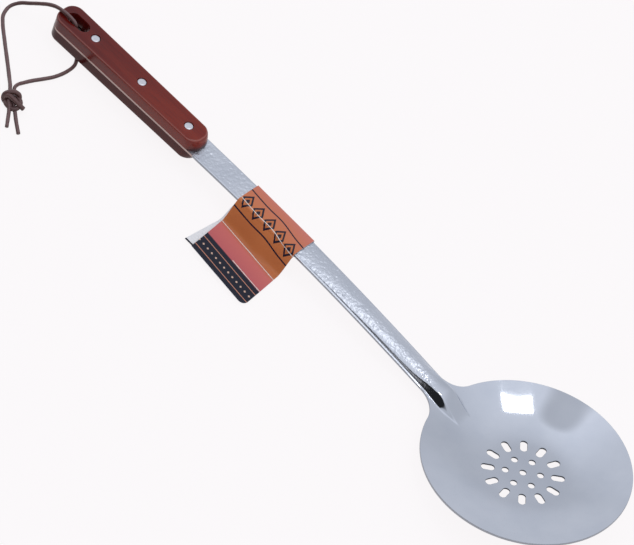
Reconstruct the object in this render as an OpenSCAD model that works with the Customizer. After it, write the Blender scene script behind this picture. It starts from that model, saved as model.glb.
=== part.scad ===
// Long-handled serving skimmer: a pressed steel blade with a riveted wooden handle, a leather hang
// cord and a paper sleeve round the shank. It lies at rest on the plane z = 0, +Z up, with the handle
// toward -X and the middle of its length at x = 0. Millimetres and degrees.

/* [Sheet] */
// Thickness of the steel sheet that the bowl, shank and tang are pressed from
sheet_t = 1.5; // [1:0.1:2]

/* [Bowl] */
// Diameter of the bowl over its rim
bowl_d = 130; // [110:1:150]
// Depth inside, from the rim down to the flat floor
bowl_depth = 11.2; // [8:0.1:15]
// Diameter of the flat floor
floor_d = 50; // [44:1:60]

/* [Perforations] */
// Number of slots in the outer ring
slot_count = 12; // [6:1:13]
// Length of a slot, along the radius
slot_l = 8.4; // [5:0.1:9.5]
// Width of a slot
slot_w = 4.5; // [2.5:0.1:4.8]
// Radius of the ring through the middles of the slots
slot_ring_r = 21.5; // [19:0.1:24]
// Number of round holes in the inner ring
hole_count = 6; // [3:1:8]
// Diameter of the round holes
hole_d = 4.2; // [2.5:0.1:5]
// Radius of the ring through the round holes
hole_ring_r = 10.8; // [8:0.1:12]
// Turn of the pattern about the bowl's axis, from the handle's line
pattern_turn = 7.4; // [0:0.1:15]

/* [Shank] */
// Width of the shank where it leaves the neck
neck_w = 17.2; // [13:0.1:20]
// Radius of the neck's fillets, in plan
neck_fillet_r = 17; // [10:0.5:24]
// Reach of the shank from the rim to the handle's front
shank_reach = 212; // [160:1:260]
// Rise of the shank at the rim, against the bowl
neck_rise = 16.8; // [12:0.1:20]
// Rise of the handle, against the bowl
handle_rise = 9.2; // [6:0.1:11]
// Height of the pressed arch where the shank crosses the rim
arch_h = 4.6; // [2:0.1:6]
// Width of the plain lip on each side of the arch
edge_lip = 1.2; // [0.8:0.1:2]
// Run of the arch's rounded nose inside the rim
nose_run = 6; // [5:0.5:12]

/* [Handle] */
// Length of the wooden handle
handle_l = 128; // [118:1:150]
// Width of the handle and its tang at the front, where the shank runs in
handle_front_w = 18.2; // [17:0.1:24]
// Width of the handle and its tang at the butt
handle_w = 20.4; // [18:0.1:26]
// Thickness of each wooden scale
scale_t = 8; // [6:0.1:10]
// Radius of the handle's corners, in plan
corner_r = 7.8; // [4:0.1:8.4]
// Radius of the scales' rounded-over outer edges
edge_r = 1.3; // [0.6:0.1:2]
// Backward lean of the scales' front over their thickness
front_lean = 2.2; // [0:0.1:3]
// Length of the hang hole
hang_l = 17; // [12:0.5:20]
// Width of the hang hole
hang_w = 8.5; // [6.5:0.1:10]
// Distance from the butt to the middle of the hang hole
hang_inset = 14; // [12.5:0.5:18]

/* [Rivets] */
// Distance from the handle's front to the first rivet
rivet_inset = 14.5; // [10:0.5:18]
// Distance from the hang hole's middle to the nearest rivet. The three rivets are spaced evenly.
hang_rivet = 15.5; // [13:0.5:18]
// Diameter of the rivet heads
head_d = 6; // [5.5:0.1:8]
// Thickness of the rivet heads
head_t = 1.4; // [0.8:0.1:2]
// Depth of the heads below the wood
head_recess = 0.2; // [0:0.05:0.6]
// Diameter of the rivets' sleeves
sleeve_d = 4.2; // [3.8:0.1:4.8]
// Diameter of the rivets' pins
pin_d = 2.8; // [2:0.1:3]

/* [Cord] */
// Diameter of the leather cord
cord_d = 2.5; // [2:0.1:2.6]

/* [Label] */
// Length of the paper sleeve along the shank
label_l = 50; // [30:1:60]
// Distance from the rim to the middle of the sleeve
label_at = 147; // [110:1:165]
// Thickness of the paper
paper_t = 0.3; // [0.2:0.05:0.5]
// Reach of the sleeve's two joined leaves beyond the shank
leaf_reach = 43; // [30:1:48]
// Run over which the leaves fall from the shank to the table
leaf_fall_run = 11; // [8:0.5:16]
// Slant of the upper leaf's edges toward the bowl, at its free end
leaf_slant = 5; // [0:0.5:8]

/* [Clearances] */
// Gap between a rivet and the hole that it fills
rivet_gap = 0.05; // [0.02:0.01:0.1]
// Gap round a rivet head in its counterbore
head_gap = 0.25; // [0.1:0.05:0.5]
// Gap between the paper and the steel
paper_gap = 0.3; // [0.2:0.05:0.5]
// Gap over the cord where it passes under the handle
cord_gap = 0.3; // [0.2:0.05:0.6]

/* [Hidden] */
$fn = 64;

// The bowl's section: a flat floor and one arc up to the rim, both about the bowl's axis.
rim_r = bowl_d/2;
floor_r = floor_d/2;
rim_z = sheet_t + bowl_depth;
wall_run = rim_r - floor_r;
wall_r = (pow(wall_run, 2) + pow(bowl_depth, 2))/(2*bowl_depth);
// A cutter reaches this far past what it cuts.
over = 1;
function dish_top(r) = r <= floor_r ? sheet_t
    : sheet_t + wall_r - sqrt(pow(wall_r, 2) - pow(r - floor_r, 2));
function dish_under(r) = r <= floor_r ? 0
    : sheet_t + wall_r - sqrt(pow(wall_r + sheet_t, 2) - pow(r - floor_r, 2));

// The shank in plan: straight tapered sides, and a fillet that runs into the rim on each side.
front_x = rim_r + shank_reach;
taper = (handle_front_w - neck_w)/2/(shank_reach - neck_fillet_r);
function side_y(ax) = neck_w/2 + taper*(ax - rim_r - neck_fillet_r);
fillet_in = 0.15;
fillet_y = side_y(rim_r + neck_fillet_r) + neck_fillet_r;
fillet_x = sqrt(pow(rim_r - fillet_in + neck_fillet_r, 2) - pow(fillet_y, 2));
fillet_sweep = acos(fillet_y/(rim_r - fillet_in + neck_fillet_r));
fillet_end_x = fillet_x - neck_fillet_r*sin(fillet_sweep);
hair = 0.001;
function rib_y(ax) = side_y(ax) - edge_lip;
function half_w(ax) = ax >= fillet_x ? side_y(ax)
    : ax >= fillet_end_x - hair
        ? fillet_y - sqrt(pow(neck_fillet_r, 2) - pow(fillet_x - ax, 2))
        : side_y(ax);

// The shank in height: it leaves the rim at neck_rise and eases to handle_rise at the handle's front.
function shank_rise(d) = tan(neck_rise)*d
    - (tan(neck_rise) - tan(handle_rise))*(d <= shank_reach ? d*d/(2*shank_reach) : d - shank_reach/2);
function shank_slope(d) = tan(neck_rise) - (tan(neck_rise) - tan(handle_rise))*min(1, d/shank_reach);
function base_top(r) = r < rim_r ? dish_top(r) : rim_z + shank_rise(r - rim_r);
// The arch grows from nothing at the handle to its full height at the rim, and ends in a round nose.
function arch(ax) = arch_h*pow(max(0, min(1, (front_x - ax)/shank_reach)), 2);
function hump(ax, y) = arch(ax)*max(0, 1 - pow(y/rib_y(ax), 2)
    - (ax < rim_r ? pow((rim_r - ax)/nose_run, 2) : 0));
function hump_slope(ax, y) = abs(y) < rib_y(ax) ? 2*arch(ax)*y/pow(rib_y(ax), 2) : 0;

// The pressing is lofted a hair over the rim and sunk under the bowl's face, so that they join cleanly.
lap = 0.1;
sink = 0.5;
sink_run = 2;
full_hump = 0.6;
seam = 0.05;
tang_start = 1;
tenon = 5;
function sunk(ax, y) = let (r = norm([ax, y]))
    min(1, max(0, rim_r - r)/sink_run)*max(0, 1 - hump(ax, y)/full_hump);
function press_top(ax, y) = base_top(norm([ax, y])) + hump(ax, y)
    + (ax < front_x ? lap*(front_x - ax)/shank_reach : 0) - seam - (lap + sink)*sunk(ax, y);
function sheet_drop(ax, y) = norm([ax, y]) < rim_r
    ? dish_top(norm([ax, y])) - dish_under(norm([ax, y]))
    : (sheet_t - 2*seam)*norm([1, shank_slope(norm([ax, y]) - rim_r), hump_slope(ax, y)]);
// Where it is sunk, its back stays inside the wall. Elsewhere the hollow under it is cut to the sheet's back.
buried = 0.5;
spare = 1.5;
clear = 1;
function press_back(ax, y) = press_top(ax, y) - buried*sunk(ax, y)
    - (sheet_drop(ax, y) + spare)*(1 - sunk(ax, y));
function hollow_top(ax, y) = press_top(ax, y) - sheet_drop(ax, y) + (sink - clear)*sunk(ax, y);

// Stations along the pressing: the nose, the fillets by equal angles, the shank and a tenon in the tang.
nose_steps = 5;
fillet_steps = 9;
shank_steps = 12;
nose_x = rim_r - nose_run;
stations = concat(
    [for (i = [-1 : nose_steps - 2]) nose_x + (fillet_end_x - nose_x)*i/(nose_steps - 1)],
    [for (i = [fillet_steps : -1 : 0]) fillet_x - neck_fillet_r*sin(fillet_sweep*i/fillet_steps)],
    [for (i = [1 : shank_steps]) fillet_x + (front_x - fillet_x)*i/shank_steps],
    [front_x + tenon]);
rib_steps = 8;
function across(ax, w) = let (b = rib_y(ax)) concat([-w, -(w + b)/2],
    [for (i = [0 : rib_steps]) b*(2*i/rib_steps - 1)], [(w + b)/2, w]);

// The handle's own frame: its origin is on the tang's upper face at the handle's front.
front_z = rim_z + shank_rise(shank_reach);
butt_u = handle_l;
hang_u = handle_l - hang_inset;
function handle_y(u) = (handle_front_w + (handle_w - handle_front_w)*u/handle_l)/2;
scale_low = -sheet_t - scale_t;
function in_handle(u, n) = [-front_x - u*cos(handle_rise) + n*sin(handle_rise),
    front_z + u*sin(handle_rise) + n*cos(handle_rise)];

// At rest the bowl's wall and the cord under the handle share the table. rest_tilt turns the bowl that far.
under_r = wall_r + sheet_t;
hang_foot = in_handle(hang_u, scale_low);
prop_h = cord_d + cord_gap;
tilt_a = under_r - hang_foot[1];
tilt_b = -hang_foot[0] - floor_r;
rest_tilt = asin((under_r - prop_h)/norm([tilt_a, tilt_b])) - atan2(tilt_a, tilt_b);
function laid_x(p) = p[0]*cos(rest_tilt) - p[1]*sin(rest_tilt);
function laid_z(p) = p[1]*cos(rest_tilt) + p[0]*sin(rest_tilt);
table_z = laid_z([-floor_r, under_r]) - under_r;
far_x = laid_x([rim_r, dish_under(rim_r)]);
butt_x = laid_x(in_handle(butt_u - edge_r, scale_t - edge_r)) - edge_r;
middle_x = (far_x + butt_x)/2;
hang_x = laid_x(hang_foot) - middle_x;

rivet_pitch = (hang_u - hang_rivet - rivet_inset)/2;
rivet_u = [for (i = [0 : 2]) rivet_inset + i*rivet_pitch];
head_seat = scale_t - head_t - head_recess;
sleeve_bore = pin_d + 2*rivet_gap;
rivet_hole = sleeve_d + 2*rivet_gap;
counterbore_d = head_d + 2*head_gap;

// The cord's route, from the point on the table under the middle of the hang hole. Two strands meet
// there, and both run into the knot side by side.
knot_at = [9.6, -63.4, 4.3];
knot_turn = -47;
knot_l = 11;
knot_r = 3;
strand_y = 0.55*cord_d;
knot_dir = [cos(knot_turn), sin(knot_turn), 0];
function strand_in(s) = knot_at + s*strand_y*[-sin(knot_turn), cos(knot_turn), 0];
hole_middle = [0.2, 0.3, 11];
upper_route = [hole_middle, [0.8, 0.3, 14], [0.9, 0.2, 16.5], [0.2, 0, 19.2], [-1.6, -0.5, 21],
    [-4.4, -1.2, 21.75], [-11, -2.8, 21.8], [-17, -4.2, 21], [-22, -5.4, 18.8], [-27, -7, 15.5],
    [-33, -9, 11], [-39, -11.8, 6.8], [-41.8, -16.5, 3.6], [-40, -23, 1.8], [-35.5, -27.8, 1.35],
    [-24, -37, 1.3], [-12, -46.2, 1.3], [-2, -54, 1.4], [5.6, -61, 3.6], strand_in(-1)];
lower_route = [hole_middle, [-0.5, 0.4, 8], [-0.6, 0.4, 6.6], [-0.1, 0.1, 4.2], [1.4, -0.7, 2.3],
    [4, -2.2, 1.4], [8, -4.4, 1.3], [11.6, -7, 1.3], [14.8, -12, 1.3], [15.8, -20, 1.3],
    [14.6, -29.5, 1.3], [12, -37, 1.3], [9.2, -44, 1.3], [7.4, -50.5, 1.6], [7, -55, 2.6],
    [8.2, -59.6, 3.9], strand_in(1)];
// Each strand runs straight through the knot and out of it in a cut tail.
function through(s, tail) = concat([strand_in(s), strand_in(s) + knot_l*knot_dir], tail);
left_end = through(-1, [[18.4, -74.6, 2.8], [22, -78.4, 1.4], [27, -83.5, 1.3]]);
right_end = through(1, [[21.4, -73.6, 2.8], [27.5, -77.4, 1.4], [35, -81, 1.3]]);
cord_sides = 8;
turn_facets = 32;

// A closed skin over equal rings of points, with flat ends.
module skin(rings) {
    n = len(rings[0]);
    points = [for (ring = rings) each ring];
    sides = [for (i = [0 : len(rings) - 2]) for (j = [0 : n - 1])
        let (a = i*n + j, b = i*n + (j + 1) % n, c = a + n, d = b + n) each [[a, c, b], [b, c, d]]];
    polyhedron(points, concat(sides, [[for (j = [0 : n - 1]) j],
        [for (j = [n - 1 : -1 : 0]) (len(rings) - 1)*n + j]]), convexity = 8);
}

function unit(v) = v/norm(v);
function reversed(list) = [for (i = [len(list) - 1 : -1 : 0]) list[i]];
function tangent(route, i) = unit(route[min(i + 1, len(route) - 1)] - route[max(i - 1, 0)]);
function tangents(route, first, last) = concat([first],
    [for (i = [1 : len(route) - 2]) tangent(route, i)], [last]);
function turned(side, t) = unit(side - (side*t)*t);
// One smooth point halfway between each two points of a route.
function halfway(route, i) = let (a = route[max(i - 1, 0)], b = route[i], c = route[i + 1],
    d = route[min(i + 2, len(route) - 1)]) (9*(b + c) - a - d)/16;
function smooth(route) = concat([for (i = [0 : len(route) - 2]) each [route[i], halfway(route, i)]],
    [route[len(route) - 1]]);
// A round cord along a route, square to first and last at its ends, its rings carried along untwisted.
module cord(route, first, last, side) {
    along = tangents(route, first, last);
    sides = [for (i = 0, s = turned(side, first); i < len(route);
        i = i + 1, s = i < len(route) ? turned(s, along[i]) : s) s];
    skin([for (i = [0 : len(route) - 1]) let (s = sides[i], v = cross(along[i], s))
        [for (j = [0 : cord_sides - 1]) let (a = 360*(j + 0.5)/cord_sides)
            route[i] + cord_d/2*(cos(a)*s + sin(a)*v)]]);
}

module laid() {
    translate([-middle_x, 0, -table_z]) rotate([0, -rest_tilt, 0]) children();
}
// Local +X runs from the butt to the bowl here, so a point at u along the handle is at x = -u.
module on_handle() {
    laid() translate([-front_x, 0, front_z]) rotate([0, handle_rise, 0]) children();
}

dish_facets = 128;
arc_facets = 360;
module dish() {
    rotate_extrude($fn = dish_facets) {
        square([floor_r, sheet_t]);
        intersection() {
            translate([floor_r, under_r]) difference() {
                circle(under_r, $fn = arc_facets);
                circle(wall_r, $fn = arc_facets);
            }
            translate([floor_r, 0]) square([wall_run, rim_z]);
        }
    }
}

punch_h = dish_top(slot_ring_r + slot_l/2) + 2*over;
module perforations() {
    rotate(180 + pattern_turn) translate([0, 0, -over]) {
        for (i = [0 : slot_count - 1]) rotate(360*i/slot_count) translate([slot_ring_r, 0, 0])
            linear_extrude(punch_h) {
                square([slot_l - slot_w, slot_w], center = true);
                for (s = [-1, 1]) translate([s*(slot_l - slot_w)/2, 0]) circle(d = slot_w);
            }
        for (i = [0 : hole_count - 1]) rotate(360*(i + 0.5)/hole_count) translate([hole_ring_r, 0, 0])
            cylinder(d = hole_d, h = punch_h);
        cylinder(d = hole_d, h = punch_h);
    }
}

module pressing() {
    skin([for (ax = stations) let (w = half_w(ax) - seam, ys = across(ax, w)) concat(
        [for (y = ys) [-ax, y, press_top(ax, y)]],
        [for (y = reversed(ys)) [-ax, y, press_back(ax, y)]])]);
}
hollow_depth = 12;
hollow_side = 1.5;
module hollow() {
    reach = concat([stations[0] - clear], stations, [front_x + tenon + clear]);
    skin([for (ax = reach) let (w = half_w(ax) + hollow_side) concat(
        [for (y = across(ax, w)) [-ax, y, hollow_top(ax, y)]],
        [for (s = [1, -1]) [-ax, s*w, press_top(ax, w) - hollow_depth]])]);
}

module hang_hole(h) {
    translate([-hang_u, 0, 0]) linear_extrude(h, center = true) {
        square([hang_l - hang_w, hang_w], center = true);
        for (s = [-1, 1]) translate([s*(hang_l - hang_w)/2, 0]) circle(d = hang_w);
    }
}

module tang_plan() {
    turn_u = handle_l - corner_r;
    front_y = handle_y(tang_start);
    hull() {
        for (s = [-1, 1]) translate([-turn_u, s*(handle_y(turn_u) - corner_r)]) circle(corner_r);
        translate([-tang_start - corner_r, -front_y]) square([corner_r, 2*front_y]);
    }
}

module tang() {
    translate([-front_x, 0, front_z]) rotate([0, handle_rise, 0]) difference() {
        translate([0, 0, -sheet_t]) linear_extrude(sheet_t) tang_plan();
        for (u = rivet_u) translate([-u, 0, -sheet_t - over])
            cylinder(d = rivet_hole, h = sheet_t + 2*over);
        hang_hole(2*(sheet_t + over));
    }
}

// The one-piece blade: perforated bowl, pressed neck and shank, and the tang that the scales grip.
module skimmer_blade() {
    color("#B4BBC8") laid() union() {
        difference() {
            union() {
                dish();
                pressing();
            }
            hollow();
            perforations();
        }
        tang();
    }
}

// A scale lying on z = 0 with its rounded-over edge upward, drilled for the rivets and the cord.
edge_steps = 4;
module scale_body() {
    difference() {
        hull() {
            for (i = [0 : edge_steps]) {
                a = 90*i/edge_steps;
                inset = edge_r*(1 - cos(a));
                z = scale_t - edge_r*(1 - sin(a));
                corner(inset, z);
            }
            corner(0, 0);
        }
        for (u = rivet_u) translate([-u, 0, 0]) {
            translate([0, 0, -over]) cylinder(d = rivet_hole, h = scale_t + 2*over);
            translate([0, 0, head_seat]) cylinder(d = counterbore_d, h = scale_t);
        }
        hang_hole(2*(scale_t + over));
    }
}
slice = 0.01;
corner_facets = 40;
module corner(inset, z) {
    lean = front_lean*pow(z/scale_t, 2);
    for (s = [-1, 1]) for (u = [handle_l - corner_r, corner_r])
        translate([-u - (u == corner_r ? lean : 0), s*(handle_y(u) - corner_r), max(0, z - slice)])
            cylinder(r = corner_r - inset, h = slice, $fn = corner_facets);
}

module upper_scale() {
    color("#7A3A2C") on_handle() scale_body();
}
module lower_scale() {
    color("#6B3328") on_handle() translate([0, 0, -sheet_t]) mirror([0, 0, 1]) scale_body();
}

// A cutler's rivet: a sleeve from below takes a pin from above, and both heads lie in counterbores.
stack = 2*head_seat + sheet_t;
sleeve_end = 0.3;
module rivet_pin(u) {
    color("#D8D8E0") on_handle() translate([-u, 0, head_seat]) {
        cylinder(d = head_d, h = head_t);
        translate([0, 0, -stack + sleeve_end]) cylinder(d = pin_d, h = stack - sleeve_end + head_t/2);
    }
}
module rivet_sleeve(u) {
    color("#C9CAD2") on_handle() translate([-u, 0, -sheet_t - head_seat - head_t]) {
        cylinder(d = head_d, h = head_t);
        translate([0, 0, head_t]) difference() {
            translate([0, 0, -head_t/2]) cylinder(d = sleeve_d, h = stack - sleeve_end + head_t/2);
            cylinder(d = sleeve_bore, h = stack);
        }
    }
}

module at_hang_foot() {
    translate([hang_x, 0, 0]) children();
}
module cord_upper_strand() {
    color("#5A4640") at_hang_foot() cord(smooth(upper_route), [0, 0, 1], knot_dir, [0, 1, 0]);
}
module cord_lower_strand() {
    color("#54413B") at_hang_foot() cord(smooth(lower_route), [0, 0, -1], knot_dir, [0, 1, 0]);
}
// Both strands lie side by side through the knot, with two turns round them and two cut tails.
module cord_knot() {
    color("#4A3A36") at_hang_foot() {
        translate(knot_at) rotate(knot_turn) for (i = [1, 2]) translate([i*knot_l/3, 0, 0])
            rotate([0, 90, 0]) rotate_extrude() translate([knot_r, 0]) circle(d = cord_d, $fn = turn_facets);
        for (end = [left_end, right_end]) cord(end, knot_dir, tangent(end, len(end) - 1), [0, 0, 1]);
    }
}

// The paper sleeve in the shank's cross-section: y across, z up from the shank's edges.
label_x = rim_r + label_at;
label_pitch = atan(shank_slope(label_at)) - rest_tilt;
label_foot = [-label_x, rim_z + shank_rise(label_at)];
wrap_y = side_y(label_x + label_l/2) + paper_gap + paper_t/2;
wrap_top = arch(label_x - label_l/2) + paper_gap + paper_t/2;
wrap_low = -sheet_t - paper_gap - paper_t/2;
leaf_apart = 3*paper_t;
rest_gap = 0.5;
leaf_fall = laid_z(label_foot) - table_z - label_l/2*abs(sin(label_pitch)) - rest_gap - paper_t/2;
fall_steps = 10;
flat_steps = 5;
leaf_wave = 1.2;
back_short = 2;
back_slant = -2;
// A leaf drops from the shank in an S and then lies out over the table. apart lifts it off the other leaf.
function leaf(apart, reach, slant) = concat(
    [for (i = [1 : fall_steps]) let (t = i/fall_steps, high = wrap_low + apart, low = apart - leaf_fall)
        [-wrap_y - apart - leaf_fall_run*t, high + (low - high)*(1 - cos(180*t))/2,
         slant*leaf_fall_run/reach*t]],
    [for (i = [1 : flat_steps]) let (t = i/flat_steps, y = leaf_fall_run + (reach - leaf_fall_run)*t)
        [-wrap_y - apart - y, apart - leaf_fall + (apart > 0 ? leaf_wave*pow(t, 2) : 0), slant*y/reach]]);
label_path = concat(reversed(leaf(0, leaf_reach - back_short, back_slant)),
    [[-wrap_y + paper_gap, wrap_low, 0], [wrap_y - paper_gap, wrap_low, 0],
     [wrap_y, wrap_low + paper_gap, 0], [wrap_y, paper_t, 0],
     [wrap_y - paper_gap, wrap_top/2, 0], [wrap_y/2, wrap_top, 0], [-wrap_y/2, wrap_top, 0],
     [-wrap_y + paper_gap, wrap_top/2, 0], [-wrap_y - leaf_apart/2, paper_t, 0]],
    leaf(leaf_apart, leaf_reach, leaf_slant));
module label_wrap() {
    last = len(label_path) - 1;
    rings = [for (i = [0 : last]) let (p = label_path[i], q = label_path[max(i - 1, 0)],
        r = label_path[min(i + 1, last)], t = unit([r[0] - q[0], r[1] - q[1]]), n = [-t[1], t[0]]*paper_t/2)
        [for (c = [[-1, -1], [-1, 1], [1, 1], [1, -1]])
            [c[0]*label_l/2 + p[2], p[0] + c[1]*n[0], p[1] + c[1]*n[1]]]];
    color("#C97A4E") translate([laid_x(label_foot) - middle_x, 0, laid_z(label_foot) - table_z])
        rotate([0, label_pitch, 0]) skin(rings);
}

skimmer_blade();
upper_scale();
lower_scale();
rivet_pin(rivet_u[0]);  // rivet_pin_front
rivet_pin(rivet_u[1]);  // rivet_pin_middle
rivet_pin(rivet_u[2]);  // rivet_pin_rear
rivet_sleeve(rivet_u[0]);  // rivet_sleeve_front
rivet_sleeve(rivet_u[1]);  // rivet_sleeve_middle
rivet_sleeve(rivet_u[2]);  // rivet_sleeve_rear
cord_upper_strand();
cord_lower_strand();
cord_knot();
label_wrap();
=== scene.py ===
# A long-handled steel skimmer with a riveted wooden handle, a leather hang cord and a paper sleeve
# round its shank. Sizes are in millimetres in each piece's section and become metres in its mesh.

import math

import bpy
import numpy as np
from mathutils import Matrix, Vector
from mathutils.geometry import delaunay_2d_cdt


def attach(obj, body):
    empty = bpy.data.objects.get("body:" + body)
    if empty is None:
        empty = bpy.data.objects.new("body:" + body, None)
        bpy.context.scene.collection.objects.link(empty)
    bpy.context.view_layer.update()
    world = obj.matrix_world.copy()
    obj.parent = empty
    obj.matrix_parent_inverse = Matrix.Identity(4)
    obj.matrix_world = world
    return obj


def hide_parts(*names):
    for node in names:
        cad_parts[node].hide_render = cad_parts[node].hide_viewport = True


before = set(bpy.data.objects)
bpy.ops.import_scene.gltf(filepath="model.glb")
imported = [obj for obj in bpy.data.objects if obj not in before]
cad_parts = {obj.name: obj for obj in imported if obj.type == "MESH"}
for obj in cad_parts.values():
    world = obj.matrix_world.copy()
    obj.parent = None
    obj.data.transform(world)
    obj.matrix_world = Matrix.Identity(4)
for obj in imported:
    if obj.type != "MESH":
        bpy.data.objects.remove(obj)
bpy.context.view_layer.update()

# Camera: the photograph's viewing point, from a fit to the bowl's rim, the slots, the shank and the rivets.
# A long lens, because the shank's two edges stay almost parallel. Its place is in metres.
camera = bpy.data.objects.new("camera", bpy.data.cameras.new("camera"))
bpy.context.scene.collection.objects.link(camera)
camera_at = Vector((0.49264, -1.24176, 1.55099))
camera_right = Vector((0.69489, 0.65265, 0.30195)).normalized()
camera_back = Vector((0.24259, -0.60803, 0.75595)).normalized()
camera_up = camera_back.cross(camera_right)
camera_turn = Matrix((camera_right, camera_up, camera_back)).transposed().to_4x4()
camera.matrix_world = Matrix.Translation(camera_at) @ camera_turn
image_w_px = 634.0
focal_px = 3334.0
camera.data.sensor_width = 36.0
camera.data.lens = focal_px/image_w_px*camera.data.sensor_width
camera.data.clip_start = 0.05
camera.data.clip_end = 40.0
bpy.context.scene.camera = camera

# Blade: bowl, shank and tang are one stainless sheet, blanked, punched with slots and holes, and pressed to
# shape. The shank is arched for stiffness, with a plain lip along each side, and hammered between the lips.
# The plan is in the bowl's own frame: ax counts from the bowl's middle toward the handle, which lies at -X.
MM = 0.001
sheet_t = 1.5
rim_r = 65.0
floor_r = 21.0
bowl_depth = 11.2
rim_z = sheet_t + bowl_depth
wall_run = rim_r - floor_r
rim_slope = 1.5*bowl_depth/wall_run
belly_floor_r = 25.0
belly_r = ((rim_r - belly_floor_r)**2 + bowl_depth**2)/(2*bowl_depth)
belly_share = 0.95
neck_w = 17.2
fillet_r = 17.0
shank_reach = 212.0
neck_slope = math.tan(math.radians(16.8))
handle_rise = math.radians(9.2)
handle_slope = math.tan(handle_rise)
handle_lay = math.cos(handle_rise)
front_x = rim_r + shank_reach
handle_l = 128.0
handle_front_w = 18.2
handle_butt_w = 20.4
corner_r = 7.8
taper = (handle_front_w - neck_w)/2/(shank_reach - fillet_r)
hang_from_butt = 14.0
hang_u = handle_l - hang_from_butt
hang_l = 17.0
hang_w = 8.5
rivet_u = (14.5, 56.5, 98.5)
rivet_hole_d = 4.3
rest_tilt = math.radians(10.7148)
rest_shift = (174.988, 6.01714)


def laid(points):
    """Points of the bowl's own frame in millimetres, as the skimmer lies at rest, in metres."""
    p = np.asarray(points, float)
    c, s = math.cos(rest_tilt), math.sin(rest_tilt)
    x = p[..., 0]*c - p[..., 2]*s + rest_shift[0]
    z = p[..., 2]*c + p[..., 0]*s + rest_shift[1]
    return np.stack([x, p[..., 1], z], -1)*MM


def ease(value, start, end):
    """0 before start, 1 past end, and a smooth climb between them."""
    t = np.clip((value - start)/(end - start), 0, 1)
    return t*t*(3 - 2*t)


def dish(r):
    """Height of the bowl's inner face: a flat floor, then a wall that steepens ever less toward the rim."""
    t = np.clip((r - floor_r)/wall_run, 0, 1)
    return sheet_t + rim_slope*wall_run*(t**2 - t**3/3)


def belly(r):
    """Height of the bowl's outer face: a flat floor and a round wall, on which it stands."""
    run = np.clip(r - belly_floor_r, 0, rim_r - belly_floor_r)
    return belly_r - np.sqrt(belly_r**2 - run**2)


def shank_rise(d):
    """Climb of the shank at a distance from the rim. Its slope eases from the neck's to the handle's."""
    bend = np.where(d <= shank_reach, d*d/(2*shank_reach), d - shank_reach/2)
    return neck_slope*d - (neck_slope - handle_slope)*bend


def side_y(ax):
    """Half the width of the shank."""
    return neck_w/2 + taper*(ax - rim_r - fillet_r)


# The arch: a crown between two steep flanks that stop at the lips. It swells at the neck, and dies away in a
# nose inside the bowl, scooped back at its sides. A stretch is where along ax a change begins and ends.
arch_h = 4.6
arch_swell = 0.3
swell_stretch = (64.0, 96.0)
edge_lip = 1.2
lip_roll = 0.2
lip_stretch = (70.0, 84.0)
lip_end = 4.0
rib_from = 40.0
rib_spread = 1.2
spread_stretch = (60.0, 78.0)
flank_slope = 1.54
flank_share = 0.35
neck_flank_share = 0.47
flank_stretch = (62.0, 92.0)
least_flank = 0.02
arris_softness = 0.008
nose_end = 47.0
nose_scoop = 8.0
scoop_share = (0.6, 0.95)

# The wall's slope turns into the shank's over this run on each side of the rim, between the neck's fillets.
turn_run = 4.0
turn_settle_run = 60.0
turn_half_w = (19.0, 27.0)
turn_low = rim_r - turn_run
turn_z = float(dish(turn_low))
turn_slope = rim_slope*(1 - (turn_run/wall_run)**2)
turn_end_slope = neck_slope - (neck_slope - handle_slope)*turn_run/shank_reach
turn_settle = turn_z + turn_run*(turn_slope + turn_end_slope) - rim_z - float(shank_rise(turn_run))


def rib_y(ax):
    """Half the width of the arch, which leaves the lips and spreads a little at the neck."""
    return side_y(np.maximum(ax, rib_from)) - edge_lip + rib_spread*(1 - ease(ax, *spread_stretch))


def pressed(ax, y):
    """Height of the sheet's upper face over the plan, without the hammering."""
    r = np.where(ax > front_x, ax, np.hypot(ax, y))
    d = np.maximum(r - rim_r, 0)
    shank = rim_z + shank_rise(d) + turn_settle*(1 - ease(d, turn_run, turn_settle_run))
    run = np.clip(r - turn_low, 0, 2*turn_run)
    turn = turn_z + turn_slope*run + (turn_end_slope - turn_slope)*run**2/(4*turn_run)
    in_neck = np.where(ax > 0, 1 - ease(np.abs(y), *turn_half_w), 0)
    bowl = dish(r)
    bowl = np.where(r > turn_low, bowl + (turn - bowl)*in_neck, bowl)
    base = np.where(r < rim_r, bowl, np.where(r < rim_r + turn_run, turn, shank))
    swell = 1 + arch_swell*(1 - ease(ax, *swell_stretch))
    arch = arch_h*np.clip((front_x - ax)/shank_reach, 0, 1)**2*swell
    share = np.minimum(np.abs(y)/rib_y(ax), 1)
    flank = arch*(flank_share + neck_flank_share*(1 - ease(ax, *flank_stretch)))
    step = (rib_y(ax) - np.abs(y))*flank_slope/np.maximum(flank, least_flank)
    step = (1 + np.sqrt(step**2 + arris_softness) - np.sqrt((step - 1)**2 + arris_softness))/2
    rise = (arch - flank)*(1 - share**2) + flank*step
    end = nose_end + nose_scoop*ease(share, *scoop_share)
    lip = np.clip((np.abs(y) - side_y(ax))/edge_lip + 1, 0, 1)
    rolled = lip_roll*lip**2*ease(ax, *lip_stretch)*(1 - ease(ax, front_x - lip_end, front_x))
    return base - rolled + rise*ease(ax, end, rim_r + 1)


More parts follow.
